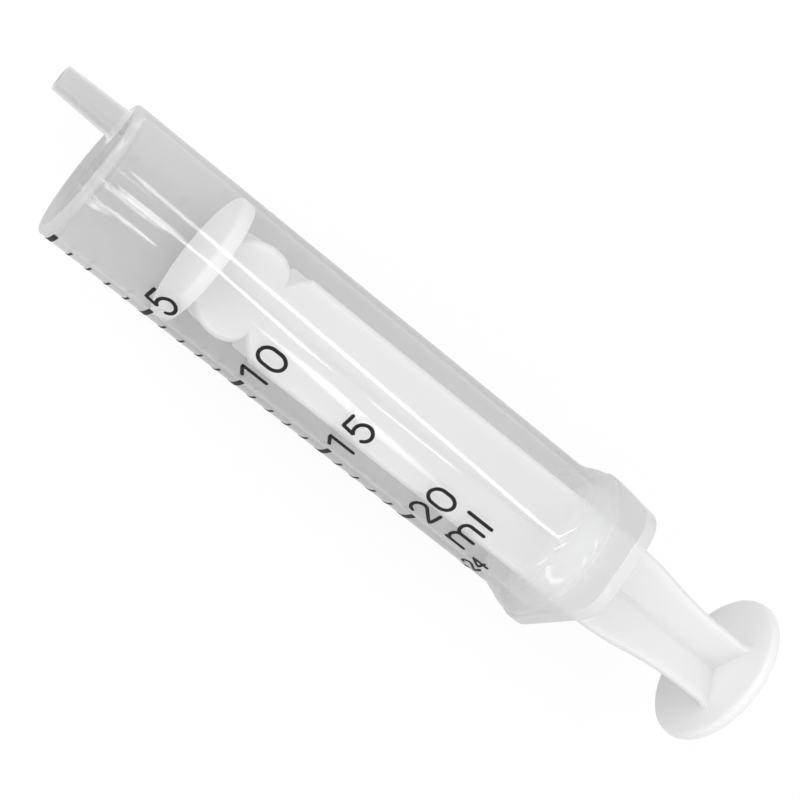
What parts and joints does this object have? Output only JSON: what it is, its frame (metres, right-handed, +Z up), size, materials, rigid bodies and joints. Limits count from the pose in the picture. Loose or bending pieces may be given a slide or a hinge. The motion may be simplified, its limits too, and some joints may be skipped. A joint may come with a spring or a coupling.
{
  "type": "luer slip syringe",
  "caption": "Disposable plastic syringe with an off-centre slip nozzle, a finger flange, a printed scale and a ribbed plunger that slides in its translucent barrel.",
  "frame": {"origin": "centre of the bounding box's bottom face, on the table that the syringe lies on", "axes": "+X from the nozzle to the thumb disc, with the syringe's axis rising 5.84 degrees from the table; +Y to the nozzle's side; +Z up, along the finger flange"},
  "size_m": [0.1336, 0.026, 0.0395],
  "materials": {
    "translucent_plastic": "smooth, translucent",
    "milky_plastic": "smooth, milky white",
    "ink": "printed"
  },
  "bodies": {
    "barrel": {"barrel": "translucent_plastic", "scale_marks": "ink"},
    "plunger": {"plunger": "milky_plastic"}
  },
  "joints": [
    {"name": "plunger_slide", "type": "slide", "parent": "barrel", "child": "plunger", "axis": [0.9948, 0, 0.1017], "range_m": [-0.01675, 0.06325]}
  ]
}
